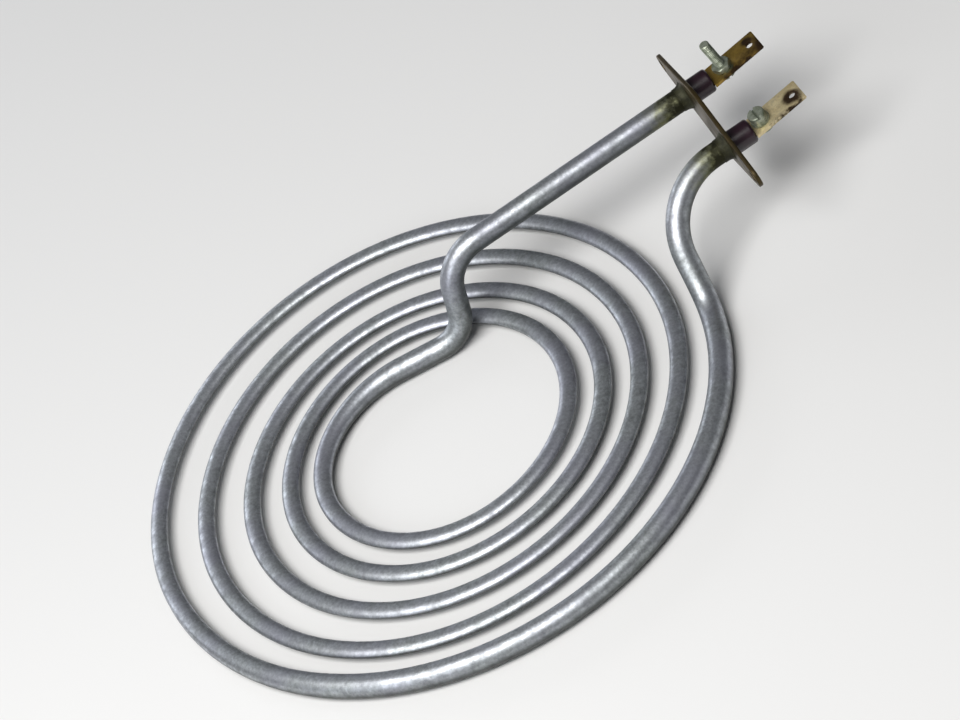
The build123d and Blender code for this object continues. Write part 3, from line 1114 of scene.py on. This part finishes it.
class ELEMENT_OT_tabs(bpy.types.Operator):
    """Make the tabs"""

    bl_idname = "element.tabs"
    bl_label = "Tabs"

    def execute(self, context):
        colours = settings("element_colours")
        sizes = settings("element_terminal")
        lead_y = settings("element_flange").lead_spacing / 2
        aged = worn_finish(
            "brass_aged", colours.brass_aged, colours.brass_stain_and_painted_reflection,
            metallic=0.8, roughness=0.34, patch_scale=210.0, grain_scale=1200.0,
            film_amount=0.6, stains=tab_marks_painted_shade_and_reflection("a", lead_y, sizes.screw_inset_a),
        )
        finished(bent_blade(lead_y, sizes.screw_inset_a), "blade_a", aged, ["tab_a"])
        bright = worn_finish(
            "brass_bright", colours.brass_bright, colours.brass_aged,
            metallic=0.65, roughness=0.38, patch_scale=210.0, grain_scale=1200.0,
            film_amount=0.35, stains=tab_marks_painted_shade_and_reflection("b", -lead_y, sizes.screw_inset_b),
        )
        finished(bent_blade(-lead_y, sizes.screw_inset_b), "blade_b", bright, ["tab_b"])
        return {"FINISHED"}


class ELEMENT_OT_screws(bpy.types.Operator):
    """Make the threaded screws and finish the nuts and washers"""

    bl_idname = "element.screws"
    bl_label = "Screws"

    def execute(self, context):
        colours = settings("element_colours")
        sizes = settings("element_terminal")
        lead_y = settings("element_flange").lead_spacing / 2
        zinc = worn_finish(
            "zinc_plate", colours.zinc, colours.zinc_dark,
            metallic=0.75, roughness=0.38, patch_scale=420.0, grain_scale=2400.0,
            film_amount=0.8, grain_amount=0.3, bump=0.2,
        )
        face = sizes.tab_thickness / 2
        screw_a = slotted_screw(sizes.long_screw)
        place(screw_a, blade_matrix(lead_y, sizes.screw_inset_a, -face, -1))
        finished(screw_a, "stud_screw", zinc, ["screw_a"], sharp=30)
        head_seat = face + sizes.washer_thickness + sizes.spring_thickness
        screw_b = slotted_screw(sizes.short_screw)
        place(screw_b, blade_matrix(-lead_y, sizes.screw_inset_b, head_seat))
        finished(screw_b, "head_screw", zinc, ["screw_b"], sharp=30)
        for node in ("nut_a", "nut_b", "washer_b", "spring_washer_b"):
            dress(node, zinc)
        return {"FINISHED"}


class ELEMENT_OT_inside(bpy.types.Operator):
    """Finish what the sheath holds"""

    bl_idname = "element.inside"
    bl_label = "Inside"

    def execute(self, context):
        colours = settings("element_colours")
        powder = worn_finish(
            "magnesia_powder", colours.powder, colours.powder_shade,
            metallic=0.0, roughness=0.9, patch_scale=500.0, grain_scale=2600.0, bump=0.5,
        )
        wire = worn_finish(
            "resistance_wire", colours.wire, colours.steel_dark,
            metallic=0.85, roughness=0.45, film_amount=0.5,
        )
        pin = worn_finish(
            "pin_steel", colours.steel, colours.zinc_dark,
            metallic=0.9, roughness=0.3, film_amount=0.4,
        )
        resin = worn_finish(
            "seal_resin", colours.resin, colours.powder_shade,
            metallic=0.0, roughness=0.4, bump=0.2,
        )
        for node, material in (
            ("insulation", powder), ("winding", wire), ("pin_a", pin), ("pin_b", pin),
            ("seal_a", resin), ("seal_b", resin),
        ):
            dress(node, material)
        return {"FINISHED"}


# Floor, lamps, surroundings and camera


def camera_axes():
    """Right, up and backward axes of the camera."""
    studio = settings("element_studio")
    roll, tilt = studio.roll, studio.tilt
    right = Vector((cos(roll), -sin(roll) * cos(tilt), -sin(roll) * sin(tilt)))
    over = Vector((sin(roll), cos(roll) * cos(tilt), cos(roll) * sin(tilt)))
    back = Vector((0, -sin(tilt), cos(tilt)))
    return right, over, back


def floor_material():
    """Pale floor with a faint unevenness."""
    material, tree, shader = new_material("pale_floor")
    tone = noise_mask(tree, object_vector(tree), scale=3.0, levels=FLOOR_LEVELS, detail=2.0)
    pale = opaque(settings("element_studio").floor_colour)
    shade = tinted(tree, pale, tone, FLOOR_MARKS, share=0.05)
    feed(tree, shader.inputs["Base Color"], shade)
    shader.inputs["Roughness"].default_value = 0.95
    shader.inputs["Specular IOR Level"].default_value = 0.1
    return material


def add_floor():
    """Floor at the height of the part's lowest point."""
    bm = bmesh.new()
    half = settings("element_studio").floor_size / 2
    matrix = Matrix.Translation((0, 0, cad_box[0].z))
    bmesh.ops.create_grid(bm, x_segments=4, y_segments=4, size=half, matrix=matrix)
    floor = mesh_object(bm, "floor", floor_material())


def add_lamp(name, aim, direction, width, height, watts, tint):
    """Area lamp that looks at a point from a direction."""
    lamp = bpy.data.lights.new(name, "AREA")
    lamp.shape = "RECTANGLE"
    lamp.size = width
    lamp.size_y = height
    lamp.energy = watts
    lamp.color = tint
    item = new_object(name, lamp)
    direction = Vector(direction).normalized()
    item.location = aim + direction * LAMP_DISTANCE
    item.rotation_euler = direction.to_track_quat("Z", "Y").to_euler()


def set_surroundings(scene):
    """Faint even light from all round, and colours that render as they are written."""
    world = bpy.data.worlds.new("surroundings")
    world.use_nodes = True
    backdrop = world.node_tree.nodes["Background"]
    backdrop.inputs["Color"].default_value = SURROUNDINGS
    backdrop.inputs["Strength"].default_value = settings("element_studio").world
    scene.world = world
    scene.view_settings.view_transform = "Standard"


def add_camera(scene, aim):
    """Camera that looks at a point beside the coil's first bend."""
    studio = settings("element_studio")
    right, over, back = camera_axes()
    lens = bpy.data.cameras.new("camera")
    lens.sensor_width = SENSOR_WIDTH
    lens.lens = studio.lens
    lens.clip_end = SIGHT
    camera = new_object("camera", lens)
    turned_to = Matrix((right, over, back)).transposed().to_4x4()
    spot = aim + back * studio.distance + right * studio.shift_right + over * studio.shift_up
    camera.matrix_world = Matrix.Translation(spot) @ turned_to
    scene.camera = camera


class ELEMENT_OT_studio(bpy.types.Operator):
    """Set up the floor, the lamps, the surroundings and the camera"""

    bl_idname = "element.studio"
    bl_label = "Studio"

    def execute(self, context):
        studio = settings("element_studio")
        aim, _ = coil_bends()
        add_floor()
        for name, direction, width, height, tint in LAMPS:
            watts = getattr(studio, f"{name}_power")
            add_lamp(name, aim, direction, width, height, watts, tint)
        set_surroundings(context.scene)
        add_camera(context.scene, aim)
        return {"FINISHED"}


PIECES = (
    ELEMENT_OT_sheath,
    ELEMENT_OT_flange,
    ELEMENT_OT_bushes,
    ELEMENT_OT_tabs,
    ELEMENT_OT_screws,
    ELEMENT_OT_inside,
    ELEMENT_OT_studio,
)

SETTINGS = {
    "element_sheath": SheathSizes,
    "element_flange": FlangeSizes,
    "element_terminal": TerminalSizes,
    "element_colours": FinishColours,
    "element_studio": StudioSizes,
}


class ELEMENT_PT_pieces(bpy.types.Panel):
    """Lists the pieces of the element and their settings"""

    bl_label = "Tubular heating element"
    bl_idname = "ELEMENT_PT_pieces"
    bl_space_type = "VIEW_3D"
    bl_region_type = "UI"
    bl_category = "Element"

    def draw(self, context):
        column = self.layout.column(align=True)
        for operator in PIECES:
            column.operator(operator.bl_idname)
        for name, group in SETTINGS.items():
            box = self.layout.box()
            for label in group.__annotations__:
                box.prop(getattr(context.scene, name), label)


def register():
    """Registers the settings, the operators and the panel."""
    for group in (*SETTINGS.values(), *PIECES, ELEMENT_PT_pieces):
        bpy.utils.register_class(group)
    for name, group in SETTINGS.items():
        setattr(bpy.types.Scene, name, PointerProperty(type=group))


def unregister():
    """Takes them away again."""
    for name in SETTINGS:
        delattr(bpy.types.Scene, name)
    for group in reversed((*SETTINGS.values(), *PIECES, ELEMENT_PT_pieces)):
        bpy.utils.unregister_class(group)


def main():
    """Builds every piece in order."""
    register()
    for operator in PIECES:
        module, name = operator.bl_idname.split(".")
        getattr(getattr(bpy.ops, module), name)()


if __name__ == "__main__":
    main()
